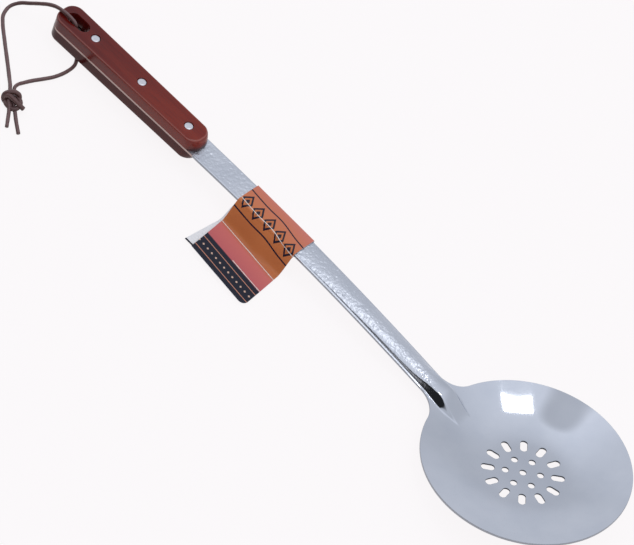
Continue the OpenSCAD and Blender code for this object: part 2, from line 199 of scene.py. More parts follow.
# The planishing hammer's dents: 1 to 4 mm across and some hundredths of a millimetre deep, none on the lips,
# and fading out at the neck.
rng = np.random.default_rng(11)
hammered_stretch = (68.0, 82.0)
hammered_y = 8.4
plain_lip = (0.8, 1.8)
fine_count = 3000
broad_count = 700
dent_count = fine_count + broad_count
dent_x = rng.uniform(hammered_stretch[0], front_x + 4, dent_count)
dent_y = rng.uniform(-hammered_y, hammered_y, dent_count)
dent_r = np.concatenate([rng.uniform(0.6, 1.1, fine_count), rng.uniform(1.3, 2.1, broad_count)])
dent_h = np.concatenate([rng.uniform(0.03, 0.075, fine_count), rng.uniform(0.04, 0.1, broad_count)])


def dents(ax, y):
    """Depth of the hammering over the plan."""
    order = np.argsort(ax)
    sorted_x, sorted_y = ax[order], y[order]
    sunk = np.zeros(len(ax))
    for cx, cy, r, h in zip(dent_x, dent_y, dent_r, dent_h):
        a, b = np.searchsorted(sorted_x, (cx - r, cx + r))
        near = ((sorted_x[a:b] - cx)**2 + (sorted_y[a:b] - cy)**2)/r**2
        sunk[a:b] += h*np.clip(1 - near, 0, 1)**2
    found = np.zeros(len(ax))
    found[order] = sunk
    return found*ease(ax, *hammered_stretch)*ease(side_y(ax) - np.abs(y), *plain_lip)


def steel_top(x, y):
    """Height of the upper face, hammered."""
    return pressed(-x, y) - dents(-x, y)


def steel_under(x, y):
    """Height of the under face: one sheet below the upper face, whatever its slope. Under the bowl it takes
    most of the belly's form, so that the bowl stands just clear of the table."""
    step = 0.05
    steepest = 1.7
    across = (pressed(-x, y + step) - pressed(-x, y - step))/(2*step)
    along = (pressed(-x + step, y) - pressed(-x - step, y))/(2*step)
    r = np.hypot(x, y)
    upright = sheet_t*np.minimum(np.sqrt(1 + across**2 + along**2), steepest)
    return pressed(-x, y) - upright - belly_share*(dish(r) - sheet_t - belly(r))


def arc(cx, cy, r, start, end, step):
    """Points on an arc, about a step apart."""
    count = max(2, math.ceil(abs(end - start)*r/step))
    a = np.linspace(start, end, count + 1)
    return np.stack([cx + r*np.cos(a), cy + r*np.sin(a)], -1)


def line(a, b, step):
    """Points on a straight line, about a step apart."""
    count = max(1, math.ceil(math.dist(a, b)/step))
    return np.linspace(a, b, count + 1)


def handle_y(u):
    """Half the width of the handle at u behind its front."""
    return (handle_front_w + (handle_butt_w - handle_front_w)*u/handle_l)/2


def blade_outline():
    """The blank's outline in plan, counter-clockwise, with the handle toward -X."""
    fillet_y = float(side_y(rim_r + fillet_r)) + fillet_r
    fillet_x = math.sqrt((rim_r + fillet_r)**2 - fillet_y**2)
    open_angle = math.atan2(fillet_y, fillet_x)
    turn_u = handle_l - corner_r
    side_u = line((0, 0), (turn_u, 0), 2)[:, 0]
    corner = arc(turn_u, handle_y(turn_u) - corner_r, corner_r, math.pi/2, 0, 0.5)
    half = np.vstack([
        arc(0, 0, rim_r, math.pi, open_angle, 0.9)[:-1],
        arc(fillet_x, fillet_y, fillet_r, open_angle + math.pi, 1.5*math.pi, 0.6)[:-1],
        line((fillet_x, float(side_y(fillet_x))), (front_x, handle_front_w/2), 0.6)[:-1],
        np.stack([front_x + side_u*handle_lay, handle_y(side_u)], -1)[:-1],
        np.stack([front_x + corner[:, 0]*handle_lay, corner[:, 1]], -1)])
    half[:, 0] *= -1
    return np.vstack([half, (half*[1, -1])[::-1][:-1]])


def put(tree, kind, inputs=None, **settings):
    """Adds one node. Settings are its own properties, and inputs are values or sockets to link."""
    node = tree.nodes.new(kind)
    for name, value in settings.items():
        setattr(node, name, value)
    for name, value in (inputs or {}).items():
        if isinstance(value, bpy.types.NodeSocket):
            tree.links.new(value, node.inputs[name])
        else:
            node.inputs[name].default_value = value
    return node


def geometry_tree(name, inputs):
    """An empty geometry tree with these named inputs, and the sockets that give them."""
    tree = bpy.data.node_groups.new(name, "GeometryNodeTree")
    tree.interface.new_socket("Geometry", in_out="OUTPUT", socket_type="NodeSocketGeometry")
    for label, kind in inputs.items():
        tree.interface.new_socket(label, in_out="INPUT", socket_type=kind)
    return tree, tree.nodes.new("NodeGroupInput").outputs


def evaluated_mesh(tree, values, name):
    """The plain mesh that a geometry tree makes with these values for its named inputs."""
    holder = bpy.data.objects.new(name, bpy.data.meshes.new(name))
    bpy.context.scene.collection.objects.link(holder)
    modifier = holder.modifiers.new(name, "NODES")
    modifier.node_group = tree
    for item in tree.interface.items_tree:
        if item.in_out == "INPUT" and item.name in values:
            modifier[item.identifier] = values[item.name]
    graph = bpy.context.evaluated_depsgraph_get()
    made = bpy.data.meshes.new_from_object(holder.evaluated_get(graph), depsgraph=graph)
    bpy.data.objects.remove(holder)
    return made


# The punch's pattern: a ring of slots along the radius, a ring of round holes and one hole in the middle.
# A slot is a circle whose two halves are drawn apart.
punch_sides = 32
punch, given = geometry_tree("punch_pattern", {
    "Slots": "NodeSocketInt", "Slot length": "NodeSocketFloat", "Slot width": "NodeSocketFloat",
    "Slot ring": "NodeSocketFloat", "Holes": "NodeSocketInt", "Hole width": "NodeSocketFloat",
    "Hole ring": "NodeSocketFloat", "Turn": "NodeSocketFloat"})
half_width = put(punch, "ShaderNodeMath", {0: given["Slot width"], 1: 0.5}, operation="MULTIPLY")
slot_round = put(punch, "GeometryNodeMeshCircle", {"Vertices": punch_sides, "Radius": half_width.outputs[0]})
slot_round = put(punch, "GeometryNodeTransform", {
    "Geometry": slot_round.outputs[0], "Rotation": (0, 0, math.pi/punch_sides)})
stretch = put(punch, "ShaderNodeMath", {
    0: given["Slot length"], 1: given["Slot width"]}, operation="SUBTRACT")
stretch = put(punch, "ShaderNodeMath", {0: stretch.outputs[0], 1: 0.5}, operation="MULTIPLY")
place = put(punch, "ShaderNodeSeparateXYZ", {0: put(punch, "GeometryNodeInputPosition").outputs[0]})
side = put(punch, "ShaderNodeMath", {0: place.outputs["X"]}, operation="SIGN")
stretch = put(punch, "ShaderNodeMath", {0: side.outputs[0], 1: stretch.outputs[0]}, operation="MULTIPLY")
slot = put(punch, "GeometryNodeSetPosition", {
    "Geometry": slot_round.outputs[0],
    "Offset": put(punch, "ShaderNodeCombineXYZ", {"X": stretch.outputs[0]}).outputs[0]})
half_width = put(punch, "ShaderNodeMath", {0: given["Hole width"], 1: 0.5}, operation="MULTIPLY")
hole = put(punch, "GeometryNodeMeshCircle", {"Vertices": punch_sides, "Radius": half_width.outputs[0]})
rings = put(punch, "GeometryNodeJoinGeometry")
for shape, count, ring, lag in ((slot, "Slots", "Slot ring", 0), (hole, "Holes", "Hole ring", 0.5)):
    spots = put(punch, "GeometryNodeMeshCircle", {"Vertices": given[count], "Radius": given[ring]})
    index = put(punch, "GeometryNodeInputIndex")
    share = put(punch, "ShaderNodeMath", {0: index.outputs[0], 1: given[count]}, operation="DIVIDE")
    angle = put(punch, "ShaderNodeMath", {0: share.outputs[0], 1: math.tau}, operation="MULTIPLY")
    set_round = put(punch, "GeometryNodeInstanceOnPoints", {
        "Points": spots.outputs[0], "Instance": shape.outputs[0],
        "Rotation": put(punch, "ShaderNodeCombineXYZ", {"Z": angle.outputs[0]}).outputs[0]})
    lead = put(punch, "ShaderNodeMath", {0: lag*math.tau, 1: given[count]}, operation="DIVIDE")
    set_round = put(punch, "GeometryNodeTransform", {
        "Geometry": set_round.outputs[0],
        "Rotation": put(punch, "ShaderNodeCombineXYZ", {"Z": lead.outputs[0]}).outputs[0]})
    punch.links.new(set_round.outputs[0], rings.inputs[0])
punch.links.new(hole.outputs[0], rings.inputs[0])
whole = put(punch, "GeometryNodeTransform", {
    "Geometry": rings.outputs[0],
    "Rotation": put(punch, "ShaderNodeCombineXYZ", {"Z": given["Turn"]}).outputs[0]})
real = put(punch, "GeometryNodeRealizeInstances", {0: whole.outputs[0]})
put(punch, "NodeGroupOutput", {0: real.outputs[0]})
pattern = evaluated_mesh(punch, {
    "Slots": 12, "Slot length": 8.4, "Slot width": 4.5, "Slot ring": 21.5, "Holes": 6, "Hole width": 4.2,
    "Hole ring": 10.8, "Turn": math.radians(180 + 7.4)}, "punch_pattern")
punched = np.array([v.co for v in pattern.vertices]).reshape(-1, punch_sides, 3)[:, :, :2]


def clockwise(loop):
    """The loop, turned to run clockwise, as a hole does."""
    x, y = loop[:, 0], loop[:, 1]
    area = np.sum(x*np.roll(y, -1) - y*np.roll(x, -1))
    return loop[::-1] if area > 0 else loop


def shifted(loop, d):
    """The loop moved to its left by d. An outline runs counter-clockwise and a hole clockwise."""
    before = loop - np.roll(loop, 1, 0)
    after = np.roll(loop, -1, 0) - loop
    left = [np.stack([-run[:, 1], run[:, 0]], -1)/np.linalg.norm(run, axis=1, keepdims=True)
            for run in (before, after)]
    middle = left[0] + left[1]
    middle /= np.sum(middle*left[0], 1, keepdims=True)
    return loop + d*middle


def inside(points, loop):
    """Which points lie within the loop."""
    odd = np.zeros(len(points), bool)
    x, y = points[:, 0], points[:, 1]
    for (ax, ay), (bx, by) in zip(loop, np.roll(loop, -1, 0)):
        if ay != by:
            odd ^= ((ay > y) != (by > y)) & (x < (bx - ax)*(y - ay)/(by - ay) + ax)
    return odd


def nearest(points, loop):
    """How far each point is from the loop."""
    least = np.full(len(points), np.inf)
    for a, b in zip(loop, np.roll(loop, -1, 0)):
        run = b - a
        t = np.clip((points - a) @ run/(run @ run), 0, 1)
        least = np.minimum(least, np.linalg.norm(points - a - t[:, None]*run, axis=1))
    return least


def plate(loops, profiles, inner, top, under):
    """A plate over plan loops, the outline first. A profile lists (inset, side, rise) down a loop's edge,
    where side 0 counts the rise from the upper face and side 1 from the under face. The faces down the
    edges come last, and the third result is the first of them."""
    upper = [shifted(loop, profile[0][0]) for loop, profile in zip(loops, profiles)]
    lower = [shifted(loop, profile[-1][0]) for loop, profile in zip(loops, profiles)]
    verts, faces = [], []

    def face(edges, height, flip):
        start = sum(len(v) for v in verts)
        points = np.vstack([*edges, inner])
        links, at = [], 0
        for edge in edges:
            links += [(at + i, at + (i + 1) % len(edge)) for i in range(len(edge))]
            at += len(edge)
        made = delaunay_2d_cdt([Vector(p) for p in points], links, [], 0, 1e-7)
        assert len(made[0]) == len(points), "plan points meet"
        tris = np.array([t[::-1] if flip else t for t in made[2]])
        middles = points[tris].mean(1)
        keep = inside(middles, edges[0])
        for edge in edges[1:]:
            keep &= ~inside(middles, edge)
        verts.append(np.column_stack([points, height(points[:, 0], points[:, 1])]))
        faces.extend((tris[keep] + start).tolist())
        starts = start + np.cumsum([0] + [len(e) for e in edges[:-1]])
        return [np.arange(s, s + len(e)) for s, e in zip(starts, edges)]

    high = face(upper, top, False)
    low = face(lower, under, True)
    sides_from = len(faces)
    for i, (loop, profile) in enumerate(zip(loops, profiles)):
        rows = [high[i]]
        heights = (top(*upper[i].T), under(*lower[i].T))
        for inset, side, rise in profile[1:-1]:
            start = sum(len(v) for v in verts)
            verts.append(np.column_stack([shifted(loop, inset), heights[side] + rise]))
            rows.append(np.arange(start, start + len(loop)))
        rows.append(low[i])
        for a, b in zip(rows, rows[1:]):
            faces.extend(np.stack([a, b, np.roll(b, -1), np.roll(a, -1)], -1).tolist())
    return np.vstack(verts), faces, sides_from


def round_edge(r, side, steps=3):
    """A quarter-round edge as a profile, from the face out to the side."""
    a = np.linspace(0, math.pi/2, steps + 1)
    rise = r*(1 - np.cos(a))
    rows = [(r*(1 - math.sin(t)), side, -d if side == 0 else d) for t, d in zip(a, rise)]
    return rows if side == 0 else rows[::-1]


def mesh_piece(name, verts, faces, material, body, slot, *nodes):
    """A shaded piece from points in metres, riding on a body and standing for these CAD nodes."""
    mesh = bpy.data.meshes.new(name)
    mesh.from_pydata([tuple(v) for v in verts], [], faces)
    mesh.validate()
    mesh.shade_smooth()
    mesh.materials.append(material)
    piece = bpy.data.objects.new(name, mesh)
    bpy.context.scene.collection.objects.link(piece)
    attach(piece, body)
    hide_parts(*nodes)
    return piece


def colour(code):
    """A linear colour from an sRGB hex value."""
    parts = [int(code[i:i + 2], 16)/255 for i in (1, 3, 5)]
    return (*[c/12.92 if c <= 0.04045 else ((c + 0.055)/1.055)**2.4 for c in parts], 1.0)


def principled(name):
    """A new material, its tree and its shader."""
    made = bpy.data.materials.new(name)
    made.use_nodes = True
    return made, made.node_tree, made.node_tree.nodes["Principled BSDF"]


def mottled(tree, patch, low, high, grain):
    """A colour that drifts between two tones, in patches of about this size in millimetres."""
    spot = put(tree, "ShaderNodeTexCoord").outputs["Object"]
    drift = put(tree, "ShaderNodeTexNoise", {"Vector": spot, "Scale": 1/(patch*MM), **grain})
    tone = put(tree, "ShaderNodeMix", {
        "Factor": drift.outputs["Fac"], "A": colour(low), "B": colour(high)}, data_type="RGBA")
    return tone.outputs["Result"]


# Stainless steel, polished: a cool grey mirror in the bowl, duller on the hammered shank, softened by faint
# smears and by polishing lines, which are drawn coarser than they are.
smear_patch = 26.3
polish_line = (11.1, 1.11, 3.33)
polish_stretch = (80.0, 105.0)
shank_roughness = 0.35
bowl_roughness = 0.05
steel, tree, bsdf = principled("polished_stainless_steel")
tone = mottled(tree, smear_patch, "#BFC4CE", "#D4D7DE", {"Detail": 3.0, "Roughness": 0.55})
tree.links.new(tone, bsdf.inputs["Base Color"])
spot = put(tree, "ShaderNodeTexCoord").outputs["Object"]
streak = put(tree, "ShaderNodeMapping", {"Vector": spot, "Scale": [1/(size*MM) for size in polish_line]})
streak = put(tree, "ShaderNodeTexNoise", {"Vector": streak.outputs[0], "Scale": 1.0, "Detail": 2.0})
along = put(tree, "ShaderNodeSeparateXYZ", {0: spot}).outputs["X"]
rough = put(tree, "ShaderNodeMapRange", {
    "Value": along, "From Min": polish_stretch[0]*MM, "From Max": polish_stretch[1]*MM,
    "To Min": shank_roughness, "To Max": bowl_roughness})
tree.links.new(rough.outputs["Result"], bsdf.inputs["Roughness"])
bump = put(tree, "ShaderNodeBump", {"Height": streak.outputs["Fac"], "Strength": 0.004, "Distance": 0.2*MM})
tree.links.new(bump.outputs["Normal"], bsdf.inputs["Normal"])
bsdf.inputs["Metallic"].default_value = 1.0


def hang_loop(cx, step):
    """The outline of the hang hole, round its middle at cx."""
    half = (hang_l - hang_w)/2
    right = arc(cx + half, 0, hang_w/2, -math.pi/2, math.pi/2, step)
    left = arc(cx - half, 0, hang_w/2, math.pi/2, 1.5*math.pi, step)
    return np.vstack([right, left])


def blade_grid(loops):
    """Plan points inside the blade: rings in the bowl, close rows over neck and shank, few on the tang."""
    ring_step = 1.3
    row_step = 0.48
    neck_from = 46.0
    neck_y = 13.0
    lip_rows = (0.35, 0.75)
    beside_from = 1.3
    beside_step = 0.7
    tang_step = 4.0
    edge_room = 0.55
    rings = []
    for i, r in enumerate(np.arange(ring_step/2, rim_r, ring_step)):
        count = max(5, round(math.tau*r/ring_step))
        a = (np.arange(count) + 0.5*(i % 2))*math.tau/count
        rings.append(np.stack([r*np.cos(a), r*np.sin(a)], -1))
    rings = np.vstack(rings)
    in_neck = (rings[:, 0] < -neck_from) & (np.abs(rings[:, 1]) < neck_y)
    even = np.linspace(-1, 1, 37)
    across = 0.6*even + 0.4*np.sin(even*math.pi/2)
    rows = []
    for ax in np.arange(neck_from + 0.4, front_x + 3, row_step):
        b = float(rib_y(ax))
        ys = np.concatenate([b*across, [side*(b + out) for out in lip_rows for side in (-1, 1)]])
        if ax < rim_r + 20:
            beside = np.arange(b + beside_from, neck_y, beside_step)
            ys = np.concatenate([ys, beside, -beside])
        rows.append(np.stack([np.full(len(ys), -ax), ys], -1))
    for ax in np.arange(front_x + 5, front_x + handle_l, tang_step):
        ys = np.linspace(-8, 8, 5)
        rows.append(np.stack([np.full(len(ys), -ax), ys], -1))
    grid = np.vstack([rings[~in_neck], *rows])
    grid = grid[inside(grid, loops[0])]
    for loop in loops:
        grid = grid[nearest(grid, loop) > edge_room]
    for loop in loops[1:]:
        grid = grid[~inside(grid, loop)]
    return grid


# The punch shears the upper part of a hole clean and tears the rest out wider. The tang's hang hole is cut
# wider than the wood's, so that it stays out of sight.
punch_round = 0.12
shear_depth = 0.78
tear_out = 0.45
edge_round = 0.15
hang_room = 0.6
outline = blade_outline()
tang_holes = [arc(-front_x - u*handle_lay, 0, rivet_hole_d/2, 0, math.tau, 0.6)[:-1] for u in rivet_u]
tang_holes.append(shifted(hang_loop(-front_x - hang_u*handle_lay, 0.6), -hang_room))
loops = [outline] + [clockwise(loop) for loop in [*punched, *tang_holes]]
profiles = [round_edge(edge_round, 0) + round_edge(edge_round, 1)]
profiles += [round_edge(punch_round, 0) + [(0, 0, -shear_depth), (tear_out, 1, 0)]]*(len(loops) - 1)
grid = blade_grid(loops)
blade_verts, blade_faces, blade_sides = plate(loops, profiles, grid, steel_top, steel_under)
blade = mesh_piece("skimmer_blade_steel", laid(blade_verts), blade_faces, steel,
                   "skimmer", "steel", "skimmer_blade")

# Where the sheet is punched through, the cut is rough and dark: rougher steel, and painted shade for the dim
# inside of each hole. Round the bowl's rim and along the shank it is buffed, and round the tang it is ground
# flush with the wood and lacquered over.
tear_patch = 0.714
tang_z = 60.0
for name, low, high, roughness in (("sheared_steel_edge_shade_painted", "#2C3036", "#52565E", 0.42),
                                   ("buffed_steel_rim", "#8A8E96", "#A8ABB2", 0.3),
                                   ("ground_tang_edge", "#A08B87", "#B7A29C", 0.35)):
    edge, tree, bsdf = principled(name)
    tree.links.new(mottled(tree, tear_patch, low, high, {"Detail": 2.0}), bsdf.inputs["Base Color"])
    bsdf.inputs["Metallic"].default_value = 1.0
    bsdf.inputs["Roughness"].default_value = roughness
    blade.data.materials.append(edge)
tang_start = float(laid([(-front_x, 0, tang_z)])[0, 0])

# The faces down the edges come loop by loop, the outline's first.
holes_from = blade_sides + len(outline)*(len(profiles[0]) - 1)
for polygon in blade.data.polygons:
    if polygon.index >= holes_from:
        polygon.material_index = 1
    elif polygon.index >= blade_sides:
        polygon.material_index = 3 if polygon.center.x < tang_start else 2

# The upper face is shaded by the pressing's own slope, so that a mirror as smooth as this shows no facets.
top_count = len(grid) + sum(len(loop) for loop in loops)
x, y = blade_verts[:top_count, 0], blade_verts[:top_count, 1]
step = 0.1
slope_x = (steel_top(x + step, y) - steel_top(x - step, y))/(2*step)
slope_y = (steel_top(x, y + step) - steel_top(x, y - step))/(2*step)
c, s = math.cos(rest_tilt), math.sin(rest_tilt)
facing = np.zeros((len(blade_verts), 3))
facing[:top_count] = np.stack([-slope_x*c - s, -slope_y, c - slope_x*s], -1)
facing[:top_count] /= np.linalg.norm(facing[:top_count], axis=1, keepdims=True)
blade.data.normals_split_custom_set_from_vertices(facing.tolist())

# Handle: two scales of stained and lacquered hardwood, one on each face of the tang, sawn to its outline,
# their outer edges rounded over, with counterbores for the rivet heads and a slot for the cord.
scale_t = 8.0
scale_edge_r = 1.3
slot_edge_r = 0.5
bore_edge_r = 0.12
front_lean = 2.2
lean_run = (3.0, 13.0)
counterbore_d = 6.5
counterbore_depth = 1.6
head_seat = scale_t - counterbore_depth


def scale_outline():
    """A scale's outline in the handle's own plan, counter-clockwise."""
    rear = handle_l - corner_r
    rear_y = handle_y(rear) - corner_r
    front_y = handle_y(corner_r) - corner_r
    quarter = math.pi/2
    middles = ((-corner_r, -front_y), (-corner_r, front_y), (-rear, rear_y), (-rear, -rear_y))
    corners = [arc(*middle, corner_r, (i - 1)*quarter, i*quarter, 0.45) for i, middle in enumerate(middles)]
    corners[1] = np.vstack([corners[1], line(corners[1][-1], corners[2][0], 2)[1:-1]])
    corners[3] = np.vstack([corners[3], line(corners[3][-1], corners[0][0], 2)[1:-1]])
    return np.vstack(corners)


def on_handle(points):
    """Points of the handle's own frame: x back from its front as -u, z up from the tang's upper face."""
    p = np.asarray(points, float)
    c, s = math.cos(handle_rise), math.sin(handle_rise)
    front_z = rim_z + float(shank_rise(shank_reach))
    x = p[..., 0]*c + p[..., 2]*s - front_x
    z = p[..., 2]*c - p[..., 0]*s + front_z
    return laid(np.stack([x, p[..., 1], z], -1))


bore_step = (rivet_hole_d - counterbore_d)/2
seat_rise = head_seat - scale_t
scale_loops = [scale_outline(), clockwise(hang_loop(-hang_u, 0.5))]
scale_profiles = [round_edge(scale_edge_r, 0, 6) + [(0, 1, rise) for rise in (4.5, 3.0, 1.5, 0)],
                  round_edge(slot_edge_r, 0, 4) + [(0, 1, 1.0), (0, 1, 0)]]
for u in rivet_u:
    scale_loops.append(clockwise(arc(-u, 0, counterbore_d/2, 0, math.tau, 0.4)[:-1]))
    scale_profiles.append(round_edge(bore_edge_r, 0, 2) + [
        (0, 0, seat_rise + 0.1), (bore_step, 0, seat_rise), (bore_step, 1, 1.0), (bore_step, 1, 0)])
spots = np.meshgrid(np.arange(-handle_l + 3, -2, 3.1), np.linspace(-7.5, 7.5, 6))
spots = np.stack(spots, -1).reshape(-1, 2)
for loop in scale_loops:
    spots = spots[nearest(spots, loop) > 2.0]
for i, loop in enumerate(scale_loops):
    spots = spots[inside(spots, loop) == (i == 0)]
scale_verts, scale_faces, _ = plate(scale_loops, scale_profiles, spots,
                                    lambda x, y: np.full(len(x), scale_t), lambda x, y: np.zeros(len(x)))
lean = front_lean*(np.clip(scale_verts[:, 2], 0, scale_t)/scale_t)**2
scale_verts[:, 0] -= lean*(1 - ease(-scale_verts[:, 0], *lean_run))


def lacquered_wood(name, tones, pore_code, gloss):
    """Hardwood stained red-brown under satin lacquer: long fine pores along the handle and slow bands of
    tone, paler toward the front. A painted highlight lies pale along the arris, and a painted shade lies dark
    at the foot of the front end. The pores are drawn coarser than they are. Tones are pairs for butt and
    front, and gloss is how much the lacquer mirrors."""
    band_size = (111.0, 6.25, 6.25)
    pore_size = (14.3, 0.667, 0.667)
    butt_x, front_end_x = -240.0, -120.0
    made, tree, bsdf = principled(name)
    spot = put(tree, "ShaderNodeTexCoord").outputs["Object"]
    band = put(tree, "ShaderNodeMapping", {"Vector": spot, "Scale": [1/(size*MM) for size in band_size]})
    band = put(tree, "ShaderNodeTexNoise", {
        "Vector": band.outputs[0], "Scale": 1.0, "Detail": 4.0, "Roughness": 0.6})
    band = put(tree, "ShaderNodeMapRange", {"Value": band.outputs["Fac"], "From Min": 0.3, "From Max": 0.7})
    along = put(tree, "ShaderNodeSeparateXYZ", {0: spot}).outputs["X"]
    along = put(tree, "ShaderNodeMapRange", {
        "Value": along, "From Min": butt_x*MM, "From Max": front_end_x*MM})
    ends = [put(tree, "ShaderNodeMix", {
        "Factor": band.outputs["Result"], "A": colour(low), "B": colour(high)}, data_type="RGBA")
        for low, high in tones]
    tone = put(tree, "ShaderNodeMix", {
        "Factor": along.outputs["Result"], "A": ends[0].outputs["Result"], "B": ends[1].outputs["Result"]},
        data_type="RGBA")
    pore = put(tree, "ShaderNodeMapping", {"Vector": spot, "Scale": [1/(size*MM) for size in pore_size]})
    pore = put(tree, "ShaderNodeTexNoise", {"Vector": pore.outputs[0], "Scale": 1.0, "Detail": 2.0})
    dark = put(tree, "ShaderNodeMapRange", {
        "Value": pore.outputs["Fac"], "From Min": 0.52, "From Max": 0.72, "To Max": 0.45})
    painted_highlight = put(tree, "ShaderNodeAttribute", attribute_name="painted_highlight")
    painted_shade = put(tree, "ShaderNodeAttribute", attribute_name="painted_shade")
    for factor, code in ((dark.outputs["Result"], pore_code), (painted_highlight.outputs["Fac"], "#B0736A"),
                         (painted_shade.outputs["Fac"], "#2B2021")):
        tone = put(tree, "ShaderNodeMix", {
            "Factor": factor, "A": tone.outputs["Result"], "B": colour(code)}, data_type="RGBA")
    tree.links.new(tone.outputs["Result"], bsdf.inputs["Base Color"])
    bump = put(tree, "ShaderNodeBump", {"Height": pore.outputs["Fac"], "Strength": 0.12, "Distance": 0.2*MM})
    tree.links.new(bump.outputs["Normal"], bsdf.inputs["Normal"])
    bsdf.inputs["Roughness"].default_value = 0.2
    bsdf.inputs["Specular IOR Level"].default_value = gloss
    return made


wood = lacquered_wood("stained_lacquered_hardwood", (("#540D0C", "#661410"), ("#781D13", "#8A2C18")),
                      "#4A0F0D", 0.36)
# The lower scale is the same wood with its tones painted darker, as painted shade, under a duller lacquer.
painted_shade_wood = lacquered_wood("shade_painted_lacquered_hardwood", (("#3C0A0B", "#460E0E"), ("#4C120F", "#561911")),
                           "#300909", 0.22)
upper_scale = mesh_piece("upper_scale_wood", on_handle(scale_verts), scale_faces, wood,
                         "skimmer", "wood", "upper_scale")
below = scale_verts*[1, 1, -1] - [0, 0, sheet_t]
lower_scale = mesh_piece("lower_scale_wood", on_handle(below), [f[::-1] for f in scale_faces], painted_shade_wood,
                         "skimmer", "wood", "lower_scale")

# The painted highlight lies on the rounding in four rows, most in the middle two. The painted shade at the
# front end's foot fades upward and back.
painted_highlight = np.zeros(len(scale_verts))
side_count = len(scale_loops[0])
rounded_from = 2*(len(spots) + sum(len(loop) for loop in scale_loops))
for row, amount in enumerate((0.1, 0.5, 0.5, 0.1)):
    start = rounded_from + row*side_count
    painted_highlight[start:start + side_count] = amount
painted_shade = 0.9*(1 - ease(-scale_verts[:, 0], 1.5, 8))*(1 - ease(scale_verts[:, 2], 0.5, 5))
for scale in (upper_scale, lower_scale):
    scale.data.attributes.new("painted_highlight", "FLOAT", "POINT").data.foreach_set("value", painted_highlight)
    scale.data.attributes.new("painted_shade", "FLOAT", "POINT").data.foreach_set("value", painted_shade)
    scale.data.set_sharp_from_angle(angle=math.radians(50))

# Rivets: three cutler's rivets through scales and tang, each a pin from above pressed into a sleeve from
# below, of aluminium, their flat heads turned with a rounded rim and set just below the wood.
rivet_tree, given = geometry_tree("cutlers_rivets", {
    "Head radius": "NodeSocketFloat", "Head height": "NodeSocketFloat", "Shaft radius": "NodeSocketFloat",
    "Upper head": "NodeSocketFloat", "Lower head": "NodeSocketFloat", "First": "NodeSocketFloat",
    "Pitch": "NodeSocketFloat", "Count": "NodeSocketInt", "Metal": "NodeSocketMaterial"})

# A head is a ball pressed flat, so that its rim stays round. One head is set at each end of the shaft.
ball = put(rivet_tree, "GeometryNodeMeshUVSphere", {"Segments": 40, "Rings": 24, "Radius": 1.0})
place = put(rivet_tree, "GeometryNodeInputPosition")
place = put(rivet_tree, "ShaderNodeSeparateXYZ", {0: place.outputs[0]})
flat_place = put(rivet_tree, "ShaderNodeCombineXYZ", {"X": place.outputs["X"], "Y": place.outputs["Y"]})
reach = put(rivet_tree, "ShaderNodeVectorMath", {0: flat_place.outputs[0]}, operation="LENGTH")
fall = put(rivet_tree, "ShaderNodeMath", {0: reach.outputs["Value"], 1: 7.0}, operation="POWER")
fall = put(rivet_tree, "ShaderNodeMath", {0: 1.0, 1: fall.outputs[0]}, operation="SUBTRACT", use_clamp=True)
fall = put(rivet_tree, "ShaderNodeMath", {0: fall.outputs[0], 1: 0.5}, operation="POWER")
up = put(rivet_tree, "ShaderNodeMath", {0: place.outputs["Z"]}, operation="SIGN")
half_h = put(rivet_tree, "ShaderNodeMath", {0: given["Head height"], 1: 0.5}, operation="MULTIPLY")
lift = put(rivet_tree, "ShaderNodeMath", {0: fall.outputs[0], 1: half_h.outputs[0]}, operation="MULTIPLY")
lift = put(rivet_tree, "ShaderNodeMath", {0: lift.outputs[0], 1: up.outputs[0]}, operation="MULTIPLY")
lift = put(rivet_tree, "ShaderNodeCombineXYZ", {"Z": lift.outputs[0]})
wide = put(rivet_tree, "ShaderNodeVectorMath", {
    0: flat_place.outputs[0], "Scale": given["Head radius"]}, operation="SCALE")
turned = put(rivet_tree, "ShaderNodeVectorMath", {0: wide.outputs[0], 1: lift.outputs[0]}, operation="ADD")
head = put(rivet_tree, "GeometryNodeSetPosition", {
    "Geometry": ball.outputs["Mesh"], "Position": turned.outputs[0]})
span = put(rivet_tree, "ShaderNodeMath", {
    0: given["Upper head"], 1: given["Lower head"]}, operation="SUBTRACT")
shaft = put(rivet_tree, "GeometryNodeMeshCylinder", {
    "Vertices": 24, "Radius": given["Shaft radius"], "Depth": span.outputs[0]})
middle = put(rivet_tree, "ShaderNodeMath", {0: given["Upper head"], 1: given["Lower head"]}, operation="ADD")
middle = put(rivet_tree, "ShaderNodeMath", {0: middle.outputs[0], 1: 0.5}, operation="MULTIPLY")
one_rivet = put(rivet_tree, "GeometryNodeJoinGeometry")
for shape, height in ((head.outputs[0], given["Upper head"]), (head.outputs[0], given["Lower head"]),
                      (shaft.outputs["Mesh"], middle.outputs[0])):
    raised = put(rivet_tree, "GeometryNodeTransform", {
        "Geometry": shape, "Translation": put(rivet_tree, "ShaderNodeCombineXYZ", {"Z": height}).outputs[0]})
    rivet_tree.links.new(raised.outputs[0], one_rivet.inputs[0])
row = put(rivet_tree, "GeometryNodeMeshLine", {
    "Count": given["Count"],
    "Start Location": put(rivet_tree, "ShaderNodeCombineXYZ", {"X": given["First"]}).outputs[0],
    "Offset": put(rivet_tree, "ShaderNodeCombineXYZ", {"X": given["Pitch"]}).outputs[0]})
riveted = put(rivet_tree, "GeometryNodeInstanceOnPoints", {
    "Points": row.outputs[0], "Instance": one_rivet.outputs[0]})
riveted = put(rivet_tree, "GeometryNodeRealizeInstances", {0: riveted.outputs[0]})
riveted = put(rivet_tree, "GeometryNodeSetMaterial", {
    "Geometry": riveted.outputs[0], "Material": given["Metal"]})
put(rivet_tree, "NodeGroupOutput", {0: riveted.outputs[0]})

